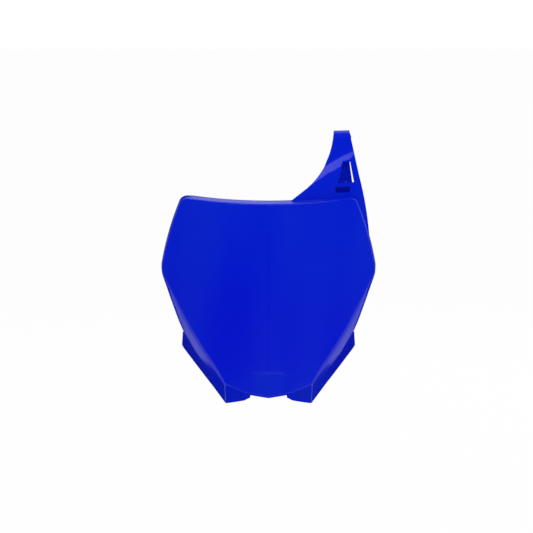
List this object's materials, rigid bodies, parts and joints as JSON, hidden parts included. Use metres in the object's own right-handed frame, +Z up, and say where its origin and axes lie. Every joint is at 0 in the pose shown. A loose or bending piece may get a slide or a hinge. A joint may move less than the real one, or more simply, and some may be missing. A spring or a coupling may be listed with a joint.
{
  "type": "racing number board",
  "caption": "Motocross front number board: one blue moulding with a bowed field, a lip all round, two side wings and a strap that clips over the handlebar brace.",
  "frame": {"origin": "centre of the mounting bolt's hole, on the plane of symmetry of the field", "axes": "+X to the viewer's right when looking at the front, +Y to the back of the board, +Z up the field"},
  "size_m": [0.2452, 0.0578, 0.3147],
  "materials": {
    "moulding": "gloss, moulded through"
  },
  "bodies": {
    "root": {"number_board": "moulding"}
  },
  "joints": []
}
